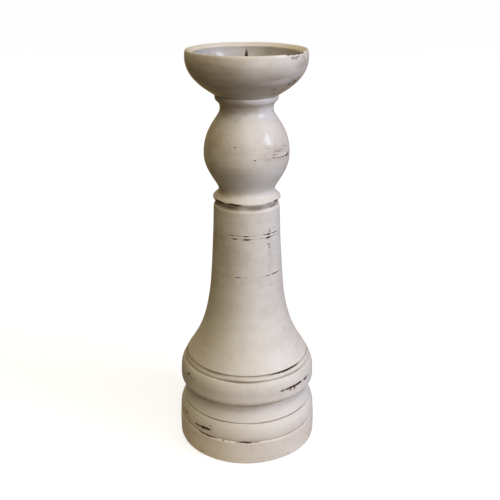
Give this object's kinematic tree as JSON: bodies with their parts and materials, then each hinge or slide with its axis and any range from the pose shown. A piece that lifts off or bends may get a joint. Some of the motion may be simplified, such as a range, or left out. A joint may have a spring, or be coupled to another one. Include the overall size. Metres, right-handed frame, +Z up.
{
  "type": "wooden candlestick",
  "caption": "Tall turned wooden candlestick, painted and worn, with a bowl top, a lift-out metal drip pan and a pricket that holds one pillar candle.",
  "frame": {"origin": "on the floor, under the middle of the round base", "axes": "+Z up along the turned axis; the piece is round, so +X and +Y are any two directions at right angles"},
  "size_m": [0.1602, 0.16, 0.45],
  "materials": {
    "painted_wood": "off-white satin paint, rubbed through to dark brown wood at edges",
    "bare_wood": "unfinished beech-like dowel",
    "pan_metal": "smooth grey sheet metal, satin",
    "dark_iron": "dark forged iron",
    "zinc_steel": "zinc plated",
    "felt": "dark brown felt"
  },
  "bodies": {
    "stand": {"felt_pad": "felt", "plinth": "painted_wood", "base_dowel": "bare_wood", "shaft": "painted_wood", "knop_dowel": "bare_wood", "knop": "painted_wood", "cup_dowel": "bare_wood", "bowl": "painted_wood"},
    "drip_tray": {"drip_pan": "pan_metal", "pricket": "dark_iron", "pan_washer": "zinc_steel", "pan_nut": "zinc_steel"}
  },
  "joints": [
    {"name": "tray_lift", "type": "slide", "parent": "stand", "child": "drip_tray", "axis": [0, 0, 1], "range_m": [0, 0.05]}
  ]
}
